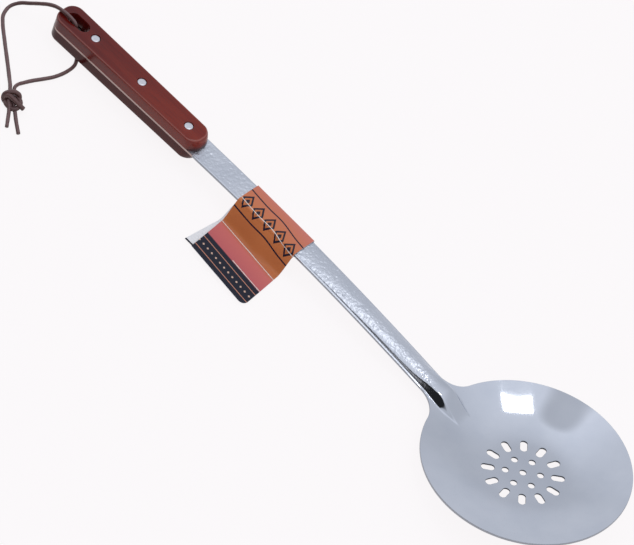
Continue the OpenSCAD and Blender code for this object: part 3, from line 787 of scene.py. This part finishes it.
# Aluminium, faced in a lathe and polished: bright and a little soft, with faint flecks.
fleck_patch = 1.11
aluminium, tree, bsdf = principled("turned_aluminium")
tone = mottled(tree, fleck_patch, "#D2D2D8", "#E6E6EA", {"Detail": 2.0})
tree.links.new(tone, bsdf.inputs["Base Color"])
bsdf.inputs["Metallic"].default_value = 1.0
bsdf.inputs["Roughness"].default_value = 0.3
head_h = 1.4
rivet_mesh = evaluated_mesh(rivet_tree, {
    "Head radius": 3.0, "Head height": head_h, "Shaft radius": 2.1, "Upper head": head_seat + head_h/2,
    "Lower head": -sheet_t - head_seat - head_h/2, "First": -rivet_u[0], "Pitch": rivet_u[0] - rivet_u[1],
    "Count": len(rivet_u), "Metal": aluminium}, "cutlers_rivets")
rivet_points = on_handle(np.array([v.co for v in rivet_mesh.vertices]))
rivet_faces = [list(p.vertices) for p in rivet_mesh.polygons]
rivets = mesh_piece("cutlers_rivets", rivet_points, rivet_faces, aluminium, "skimmer", "rivet_metal",
                    "rivet_pin_front", "rivet_pin_middle", "rivet_pin_rear",
                    "rivet_sleeve_front", "rivet_sleeve_middle", "rivet_sleeve_rear")
rivets.data.set_sharp_from_angle(angle=math.radians(50))

# Hang cord: one round leather lace, led through the slot in the handle and knotted to a loop, its two ends
# cut short beyond the knot. It is modelled as two runs that meet in the slot, and the knot's wound turns.
# Its points count from the slot's middle along X, and from the table.
cord_d = 2.5
cord_sides = 16
table_gap = 0.02
slot_x = -222.395
knot_at = np.array([9.6, -63.4, 4.3])
knot_turn = math.radians(-47)
knot_l = 11.0
knot_dir = np.array([math.cos(knot_turn), math.sin(knot_turn), 0])
knot_side = np.array([-math.sin(knot_turn), math.cos(knot_turn), 0])
strand_y = 0.55*cord_d
turn_r = 0.62*cord_d
uneven = 0.03
# How strong the painted highlight is on the runs and on the knot's turns.
run_highlight = 0.5
knot_highlight = 0.25
slot_middle = (0.2, 0.3, 11)
upper_route = [
    slot_middle, (0.6, -1.0, 14), (0.8, -2.2, 16.5), (0.5, -2.9, 19.0), (-1.2, -3.2, 20.9),
    (-4.2, -3.3, 21.8), (-11, -3.6, 21.9), (-17, -4.3, 21), (-22, -5.4, 18.8), (-27, -7, 15.5), (-33, -9, 11),
    (-39, -11.8, 6.8), (-41.8, -16.5, 3.6), (-40, -23, 1.8), (-35.5, -27.8, 1.35), (-24, -37, 1.3),
    (-12, -46.2, 1.3), (-2, -54, 1.4), (5.6, -61, 3.6), knot_at - strand_y*knot_side,
    knot_at - strand_y*knot_side + 0.8*knot_l*knot_dir, (18.8, -74.1, 2.2), (22, -77.6, 1.35),
    (26.9, -83.4, 1.3)]
lower_route = [
    slot_middle, (-0.5, 0.4, 8), (-0.6, 0.4, 6.6), (-0.1, 0.1, 4.2), (1.4, -0.7, 2.3), (4, -2.2, 1.4),
    (8, -4.4, 1.3), (11.6, -7, 1.3), (14.8, -12, 1.3), (15.8, -20, 1.3), (14.6, -29.5, 1.3), (12, -37, 1.3),
    (9.2, -44, 1.3), (7.4, -50.5, 1.6), (7, -55, 2.6), (8.2, -59.6, 3.9), knot_at + strand_y*knot_side,
    knot_at + strand_y*knot_side + 0.7*knot_l*knot_dir, (21.4, -71.3, 1.9), (26.6, -75.1, 1.35),
    (34.8, -80.9, 1.3)]

# The knot: a turn over the top of both strands, one round their lower part, and a strap down across them.
knot_turns = [
    [(13.5, -64.5, 3.6), (16.6, -64.0, 4.8), (15.6, -64.2, 7.7), (13.0, -65.8, 8.8), (10.9, -68.1, 8.0),
     (9.4, -69.9, 5.9), (9.8, -70.6, 2.8), (12.1, -70.6, 1.4), (14.7, -69.1, 1.4)],
    [(10.8, -70.0, 1.6), (10.5, -70.1, 4.8), (12.4, -69.7, 7.2), (16.1, -69.4, 7.5), (19.4, -68.8, 6.7),
     (22.0, -67.7, 5.1), (23.7, -66.8, 4.0)],
    [(15.4, -65.0, 5.5), (18.7, -65.5, 5.8), (20.6, -67.0, 4.9), (20.9, -69.6, 3.5), (19.4, -71.8, 2.7),
     (16.3, -72.3, 2.5), (13.3, -71.7, 2.4), (11.3, -69.3, 2.3)],
    [(11.4, -66.4, 3.0), (13.4, -68.4, 3.6), (15.6, -70.4, 3.6), (17.4, -72.0, 3.0)]]


def smooth_run(route, step):
    """A smooth curve through a route's points, a centripetal Catmull-Rom spline, at even steps, and its
    length, in millimetres."""
    p = np.array([np.asarray(q, float) for q in route])
    ends = np.vstack([2*p[0] - p[1], p, 2*p[-1] - p[-2]])
    t = np.linspace(0, 1, 25)[:-1, None]
    found = []
    for a, b, c, d in zip(ends, ends[1:], ends[2:], ends[3:]):
        gaps = [math.sqrt(np.linalg.norm(v - u)) for u, v in ((a, b), (b, c), (c, d))]
        m1 = gaps[1]*((b - a)/gaps[0] - (c - a)/(gaps[0] + gaps[1]) + (c - b)/gaps[1])
        m2 = gaps[1]*((c - b)/gaps[1] - (d - b)/(gaps[1] + gaps[2]) + (d - c)/gaps[2])
        found.append(b*(2*t**3 - 3*t**2 + 1) + m1*(t**3 - 2*t**2 + t)
                     + c*(3*t**2 - 2*t**3) + m2*(t**3 - t**2))
    fine = np.vstack([*found, p[-1:]])
    along = np.concatenate([[0], np.cumsum(np.linalg.norm(np.diff(fine, axis=0), axis=1))])
    even = np.linspace(0, along[-1], max(8, round(along[-1]/step)))
    return np.stack([np.interp(even, along, fine[:, k]) for k in range(3)], -1), along[-1]


def tube(path, radius, sides):
    """A closed tube along a path, its rings carried along untwisted, with low points for ends."""
    end_rise = 0.25
    tangents = np.gradient(path, axis=0)
    tangents /= np.linalg.norm(tangents, axis=1, keepdims=True)
    side = np.cross(tangents[0], [0.3, 0.9, 0.2])
    a = np.arange(sides)*math.tau/sides
    verts = []
    for p, t, r in zip(path, tangents, radius):
        side = side - (side @ t)*t
        side /= np.linalg.norm(side)
        v = np.cross(t, side)
        verts.append(p + r*(np.cos(a)[:, None]*side + np.sin(a)[:, None]*v))
    verts = np.vstack([*verts, path[:1] - tangents[:1]*end_rise, path[-1:] + tangents[-1:]*end_rise])
    count = len(path)
    last = (count - 1)*sides
    around = [(j, (j + 1) % sides) for j in range(sides)]
    faces = [(i + j, i + k, i + sides + k, i + sides + j) for i in range(0, last, sides) for j, k in around]
    for j, k in around:
        faces += [(count*sides, k, j), (count*sides + 1, last + j, last + k)]
    return verts, faces


# Vegetable-tanned lace, rolled round: brown with a slight shine, with a painted highlight pale along its
# upper side, and finely creased, the creases drawn coarser than they are.
worn_patch = 6.25
crease_patch = 0.909
leather, tree, bsdf = principled("rolled_leather_lace")
tone = mottled(tree, worn_patch, "#331B19", "#5E3A34", {"Detail": 3.0, "Roughness": 0.6})
painted_highlight = put(tree, "ShaderNodeAttribute", attribute_name="painted_highlight").outputs["Fac"]
tone = put(tree, "ShaderNodeMix", {"Factor": painted_highlight, "A": tone, "B": colour("#8F7070")}, data_type="RGBA")
tree.links.new(tone.outputs["Result"], bsdf.inputs["Base Color"])
spot = put(tree, "ShaderNodeTexCoord").outputs["Object"]
crease = put(tree, "ShaderNodeTexNoise", {"Vector": spot, "Scale": 1/(crease_patch*MM), "Detail": 2.0})
bump = put(tree, "ShaderNodeBump", {"Height": crease.outputs["Fac"], "Strength": 0.35, "Distance": 0.3*MM})
tree.links.new(bump.outputs["Normal"], bsdf.inputs["Normal"])
bsdf.inputs["Roughness"].default_value = 0.36


def mark_painted_highlight(piece, tubes, amount):
    """Marks how much painted highlight each point of a piece made of tubes takes: pale, most on its upper
    side.
    """
    marks = []
    for path, points in tubes:
        ringed = len(path)*cord_sides
        rise = points[:ringed, 2] - np.repeat(path[:, 2], cord_sides)
        marks += [amount*ease(rise/cord_d, 0.2, 0.5), np.zeros(len(points) - ringed)]
    piece.data.attributes.new("painted_highlight", "FLOAT", "POINT").data.foreach_set("value", np.concatenate(marks))


cord_runs = {}
for name, route in (("upper", upper_route), ("lower", lower_route)):
    path, length = smooth_run(route, 0.8)
    path = path + [slot_x, 0, 0]
    sway = rng.normal(0, 1, len(path))
    radius = cord_d/2*(1 + uneven*np.convolve(sway, np.ones(9)/3, "same"))
    verts, faces = tube(path, radius, cord_sides)
    verts[:, 2] = np.maximum(verts[:, 2], table_gap)
    piece = mesh_piece(f"cord_{name}_run", verts*MM, faces, leather, "hang_cord", "cord_leather",
                       f"cord_{name}_strand")
    mark_painted_highlight(piece, [(path, verts)], run_highlight)
    cord_runs[name] = (piece, path, length)
verts, faces, turns = np.zeros((0, 3)), [], []
for turn in knot_turns:
    path, length = smooth_run(turn, 0.5)
    turn_verts, turn_faces = tube(path + [slot_x, 0, 0], np.full(len(path), turn_r), cord_sides)
    faces += [tuple(i + len(verts) for i in face) for face in turn_faces]
    verts = np.vstack([verts, turn_verts])
    turns.append((path, turn_verts))
verts[:, 2] = np.maximum(verts[:, 2], table_gap)
knot = mesh_piece("cord_knot_turns", verts*MM, faces, leather, "hang_cord", "cord_leather", "cord_knot")
mark_painted_highlight(knot, turns, knot_highlight)
for name, pieces in (("upper", [knot]), ("lower", [])):
    piece, path, length = cord_runs[name]

# Paper sleeve: a strip of coated gloss card, folded round the shank, its two leaves lying together beyond the
# shank's edge, where they fall to the table. Printed outside with bands, diamonds and dots, white inside.
# Its lines are in its own frame: x along the shank, y across it, z up from the shank's upper face.
label_l = 50.0
paper_t = 0.3
label_at = (-42.6, 15.6806)
label_pitch = math.radians(0.863487)
wrap_y = 9.447
wrap_top = 1.279
wrap_low = -1.95
fold_gap = 0.3
leaf_fall = 14.6538
leaf_apart = 0.9
front_reach = 43.4
front_skew = 2.3
front_slant = 4.0
front_start = -0.25
front_fall_run = 10.0
front_swell = 1.2
bulge = 4.0
bulge_at = 4.0
bulge_half_l = 9.0
shoulder = 0.35
back_reach = 39.0
back_slant = -3.0
back_fall_run = 11.0
corner_from = 0.82
leaf_corner = 4.5


def leaf(x, start, low, reach, slant, run, swell):
    """One line down a leaf, from the shank outwards: the fall from the shank's edge over a run, then out over
    the table to its reach. The fall leaves the edge steeply and lands flat. The leaf's end lies a slant
    along the shank, and swells up from the table."""
    rows = []
    for t in np.linspace(0.03, 1, 30):
        drop = 0.25*(1 - math.cos(math.pi*t)) + 0.5*math.sin(math.pi*t/2)
        rows.append((x + slant*run*t/reach, -wrap_y - run*t, start + (low - start)*drop))
    for t in np.linspace(0.04, 1, 26):
        y = run + (reach - run)*t
        rows.append((x + slant*y/reach, -wrap_y - y, low + swell*t*t))
    return rows


def corner_cut(x):
    """How far the front leaf's rounded corner falls short of its end."""
    corner = max(0, 2*x/label_l - corner_from)/(1 - corner_from)
    return leaf_corner*(1 - math.sqrt(1 - min(1, corner)**2))


def label_line(x):
    """The strip's middle line at x: back leaf, under the shank, round its far side, over it, front leaf."""
    band = [(-wrap_y + fold_gap, wrap_low), (0, wrap_low), (wrap_y - fold_gap, wrap_low),
            (wrap_y, wrap_low + fold_gap), (wrap_y, paper_t), (wrap_y - fold_gap, wrap_top/2)]
    band += [(wrap_y*math.cos(a), wrap_top/2*(1 + math.sin(a)))
             for a in np.linspace(shoulder, math.pi - shoulder, 14)]
    band += [(-wrap_y + 0.25, wrap_top/2), (-wrap_y - 0.1, 0.25)]
    reach = front_reach + front_skew*2*x/label_l - corner_cut(x)
    run = front_fall_run + bulge*math.exp(-((x - bulge_at)/bulge_half_l)**2)
    front = leaf(x, front_start, leaf_apart - leaf_fall, reach, front_slant, run, front_swell)
    back = leaf(x, wrap_low, -leaf_fall, back_reach, back_slant, back_fall_run, 0)
    return back[::-1] + [(x, y, z) for y, z in band] + front


# Lines across the strip stand closer together toward the front leaf's rounded corner.
columns = np.concatenate([np.linspace(-label_l/2, 0.7*label_l/2, 34),
                          label_l/2*(1 - np.geomspace(0.28, 0.002, 14)), [label_l/2]])
strips = np.array([label_line(x) for x in columns])
steps = np.linalg.norm(np.diff(strips[:, :, 1:], axis=1), axis=2)
run_at = np.concatenate([np.zeros((len(columns), 1)), np.cumsum(steps, 1)], 1)
label_run = float(np.median(run_at[:, -1]))
from_end = run_at[:, -1:] - run_at + np.array([[corner_cut(x)] for x in columns])
tangent = np.gradient(strips[:, :, 1:], axis=1)
tangent /= np.linalg.norm(tangent, axis=2, keepdims=True)
lift = np.stack([np.zeros(strips.shape[:2]), -tangent[:, :, 1], tangent[:, :, 0]], -1)*paper_t/2
verts = np.concatenate([(strips - lift).reshape(-1, 3), (strips + lift).reshape(-1, 3)])
column_count, row_count = strips.shape[:2]
face_points = column_count*row_count

# The printed face comes first, then the bare one, and then the cut edge all round.
faces = []
for i in range(column_count - 1):
    for j in range(row_count - 1):
        a = i*row_count + j
        faces.append((a, a + 1, a + row_count + 1, a + row_count))
printed_count = len(faces)
faces += [tuple(k + face_points for k in face[::-1]) for face in faces]
ring = list(range(row_count)) + [i*row_count + row_count - 1 for i in range(1, column_count)]
ring += [(column_count - 1)*row_count + j for j in range(row_count - 2, -1, -1)]
ring += [i*row_count for i in range(column_count - 2, 0, -1)]
for a, b in zip(ring, ring[1:] + ring[:1]):
    faces.append((b, a, a + face_points, b + face_points))
c, s = math.cos(label_pitch), math.sin(label_pitch)
placed = np.stack([verts[:, 0]*c + verts[:, 2]*s + label_at[0], verts[:, 1],
                   verts[:, 2]*c - verts[:, 0]*s + label_at[1]], -1)

# Coated gloss card: flat inks under a glossy coat, with painted highlights in broken white lines along the
# folds. The print is placed in millimetres, across the strip from the front leaf's end and along the shank.
navy = "#1D1F2F"
dark_ink = "#2B2433"
pale_ink = "#C98A72"
band_end = 133.0
diamond_at = 53.0
diamond_half = 5.0
diamond_squeeze = 0.7
dot_at = 8.5
dot_half_pitch = 2.0
dot_reach = 0.9
fold_glare_patch = 0.833
fold_reach = 0.12
card, tree, bsdf = principled("printed_gloss_card")
uv = put(tree, "ShaderNodeUVMap", uv_map="print").outputs[0]
mm = put(tree, "ShaderNodeMapping", {"Vector": uv, "Scale": (label_l, label_run, 1.0)})
mm = put(tree, "ShaderNodeSeparateXYZ", {0: mm.outputs[0]}).outputs
share = put(tree, "ShaderNodeMapRange", {"Value": mm["Y"], "From Max": band_end}).outputs["Result"]
bands = put(tree, "ShaderNodeValToRGB", {"Fac": share})
bands.color_ramp.elements[0].color = colour(navy)
bands.color_ramp.elements[1].color = colour(navy)
for at, code in ((16.6, navy), (17.0, "#CB6668"), (29.0, "#DA746D"), (33.0, "#CB7747"), (50.0, "#D67F4D"),
                 (60.0, "#D67E5C"), (70.0, "#D87E6E"), (label_run - 4.5, "#C96E55"), (label_run - 4.0, navy)):
    bands.color_ramp.elements.new(at/band_end).color = colour(code)


def from_line(at):
    """How far a spot of the print is from a line along the shank."""
    off = put(tree, "ShaderNodeMath", {0: mm["Y"], 1: at}, operation="SUBTRACT").outputs[0]
    return put(tree, "ShaderNodeMath", {0: off}, operation="ABSOLUTE").outputs[0]


def print_over(base, distance, reach, code):
    """The print so far, with an ink laid over it where a distance is less than its reach."""
    covered = put(tree, "ShaderNodeMath", {0: distance, 1: reach}, operation="LESS_THAN").outputs[0]
    mixed = put(tree, "ShaderNodeMix", {"Factor": covered, "A": base, "B": colour(code)}, data_type="RGBA")
    return mixed.outputs["Result"]


beat = put(tree, "ShaderNodeMath", {0: mm["X"], 1: diamond_half}, operation="ADD").outputs[0]
beat = put(tree, "ShaderNodeMath", {0: beat, 1: diamond_half}, operation="PINGPONG").outputs[0]
squeezed = put(tree, "ShaderNodeMath", {0: from_line(diamond_at), 1: diamond_squeeze}, operation="MULTIPLY")
diamond = put(tree, "ShaderNodeMath", {0: beat, 1: squeezed.outputs[0]}, operation="ADD").outputs[0]
ink = bands.outputs["Color"]
for reach, code in ((4.4, dark_ink), (2.9, "#CF7A4A"), (1.5, dark_ink)):
    ink = print_over(ink, diamond, reach, code)
for at, reach, code in ((44.5, 0.5, dark_ink), (61.5, 0.5, dark_ink), (13.0, 0.3, pale_ink),
                        (4.0, 0.3, pale_ink)):
    ink = print_over(ink, from_line(at), reach, code)
dot = put(tree, "ShaderNodeMath", {0: mm["X"], 1: dot_half_pitch}, operation="PINGPONG").outputs[0]
dot = put(tree, "ShaderNodeMath", {0: dot, 1: from_line(dot_at)}, operation="ADD").outputs[0]
ink = print_over(ink, dot, dot_reach, "#D9B49E")
# Painted highlights: broken white lines along the folds, where the coat's glare lies.
fold_glare_break = put(tree, "ShaderNodeTexNoise", {"Vector": uv, "Scale": label_l/fold_glare_patch, "Detail": 3.0})
for fold_at, fold_from in ((51.8, 0.0), (31.5, 0.0), (17.4, 24.0)):
    fold_glare = put(tree, "ShaderNodeMath", {
        0: from_line(fold_at), 1: fold_glare_break.outputs["Fac"]}, operation="MULTIPLY")
    before = put(tree, "ShaderNodeMath", {0: fold_from, 1: mm["X"]}, operation="SUBTRACT")
    fold_glare = put(tree, "ShaderNodeMath", {0: fold_glare.outputs[0], 1: before.outputs[0]}, operation="MAXIMUM")
    ink = print_over(ink, fold_glare.outputs[0], fold_reach, "#F2E6DC")
tree.links.new(ink, bsdf.inputs["Base Color"])
bsdf.inputs["Roughness"].default_value = 0.16
bsdf.inputs["Specular IOR Level"].default_value = 0.25

# Bare card on the inside: matt white, with a faint cloud of fibres.
fibre_patch = 2.0
white_card, tree, bsdf = principled("bare_white_card")
tree.links.new(mottled(tree, fibre_patch, "#F5F2F1", "#FCFBFB", {}), bsdf.inputs["Base Color"])
bsdf.inputs["Roughness"].default_value = 0.8
label = mesh_piece("label_sleeve_paper", placed*MM, faces, card, "skimmer", "label_paper", "label_wrap")
label.data.materials.append(white_card)

# The back leaf's end row takes the print's navy on its bare inside too: a painted shade line along the leaf's
# cut end.
for polygon in label.data.polygons:
    painted_shade_end = all(v % face_points % row_count <= 1 for v in polygon.vertices)
    polygon.material_index = 0 if polygon.index < printed_count or painted_shade_end else 1
layer = label.data.uv_layers.new(name="print")
for loop in label.data.loops:
    i, j = divmod(loop.vertex_index % face_points, row_count)
    layer.data[loop.index].uv = (columns[i]/label_l + 0.5, from_end[i, j]/label_run)
label.data.set_sharp_from_angle(angle=math.radians(60))

# Studio: a pale table in a light tent, in metres. One softbox hangs over the table, and the tent's open side,
# by the camera, is dark. The table shows all but white, also in the steel, and keeps the skimmer's shadow.
table_half = 6.0
table_glow = 0.9
corners = ((-1, -1), (1, -1), (1, 1), (-1, 1))
table_mesh = bpy.data.meshes.new("table_top")
table_mesh.from_pydata([(x*table_half, y*table_half, 0) for x, y in corners], [], [(0, 1, 2, 3)])
table_top = bpy.data.objects.new("table_top", table_mesh)
bpy.context.scene.collection.objects.link(table_top)
table, tree, bsdf = principled("pale_table")
bsdf.inputs["Base Color"].default_value = colour("#F3F2F4")
bsdf.inputs["Roughness"].default_value = 0.9
glow = put(tree, "ShaderNodeEmission", {"Color": colour("#FFFCFD"), "Strength": 1.0})
ray = put(tree, "ShaderNodeLightPath").outputs
seen = ray["Is Camera Ray"]
for kind in ("Is Glossy Ray", "Is Transmission Ray"):
    seen = put(tree, "ShaderNodeMath", {0: seen, 1: ray[kind]}, operation="MAXIMUM").outputs[0]
share = put(tree, "ShaderNodeMath", {0: seen, 1: table_glow}, operation="MULTIPLY").outputs[0]
lit = put(tree, "ShaderNodeMixShader", {0: share, 1: bsdf.outputs[0], 2: glow.outputs[0]})
tree.links.new(lit.outputs[0], tree.nodes["Material Output"].inputs["Surface"])
table_mesh.materials.append(table)

# The tent's wall, brightest overhead, and then its open side, a grey panel above and a brighter side: the way
# each lies, how near that way it begins and is whole, and its brightness against the wall.
tent_tint = (0.975, 1.013, 1.1, 1.0)
world = bpy.data.worlds.new("light_tent")
world.use_nodes = True
bpy.context.scene.world = world
tent = world.node_tree
facing = put(tent, "ShaderNodeTexCoord").outputs["Generated"]
height = put(tent, "ShaderNodeSeparateXYZ", {0: facing}).outputs["Z"]
height = put(tent, "ShaderNodeClamp", {"Value": height}).outputs["Result"]
walls = put(tent, "ShaderNodeFloatCurve", {"Value": height})
for at, value in ((0.3, 0.74), (0.62, 0.66), (0.84, 0.8)):
    walls.mapping.curves[0].points.new(at, value)
walls.mapping.curves[0].points[0].location = (0, 0.75)
walls.mapping.curves[0].points[-1].location = (1, 0.95)
walls.mapping.update()
level = walls.outputs["Value"]
for toward, begun, whole, brightness in (((-0.25, -0.95, 0.2), 0.78, 0.88, 0.03),
                                         ((-0.35, 0.06, 0.935), 0.985, 0.997, 0.7),
                                         ((-0.75, 0.0, 0.66), 0.8, 0.98, 1.2)):
    near = put(tent, "ShaderNodeVectorMath", {
        0: facing, 1: Vector(toward).normalized()}, operation="DOT_PRODUCT")
    part = put(tent, "ShaderNodeMapRange", {
        "Value": near.outputs["Value"], "From Min": begun, "From Max": whole, "To Min": 1.0,
        "To Max": brightness}, interpolation_type="SMOOTHSTEP")
    level = put(tent, "ShaderNodeMath", {
        0: level, 1: part.outputs["Result"]}, operation="MULTIPLY").outputs[0]
tent.nodes["Background"].inputs["Color"].default_value = tent_tint
tent.links.new(level, tent.nodes["Background"].inputs["Strength"])

# The softbox hangs level. Its power follows from how bright its face is.
softbox_at = (-0.032, 0.4135, 1.6)
softbox_turn = math.radians(49)
softbox_size = (0.32, 0.15)
softbox_radiance = 8.5
lamp = bpy.data.lights.new("overhead_softbox", "AREA")
lamp.shape = "RECTANGLE"
lamp.size, lamp.size_y = softbox_size
lamp.energy = softbox_radiance*math.pi*softbox_size[0]*softbox_size[1]
softbox = bpy.data.objects.new("overhead_softbox", lamp)
softbox.matrix_world = Matrix.Translation(softbox_at) @ Matrix.Rotation(softbox_turn, 4, "Z")
bpy.context.scene.collection.objects.link(softbox)

bpy.context.scene.view_settings.view_transform = "Standard"
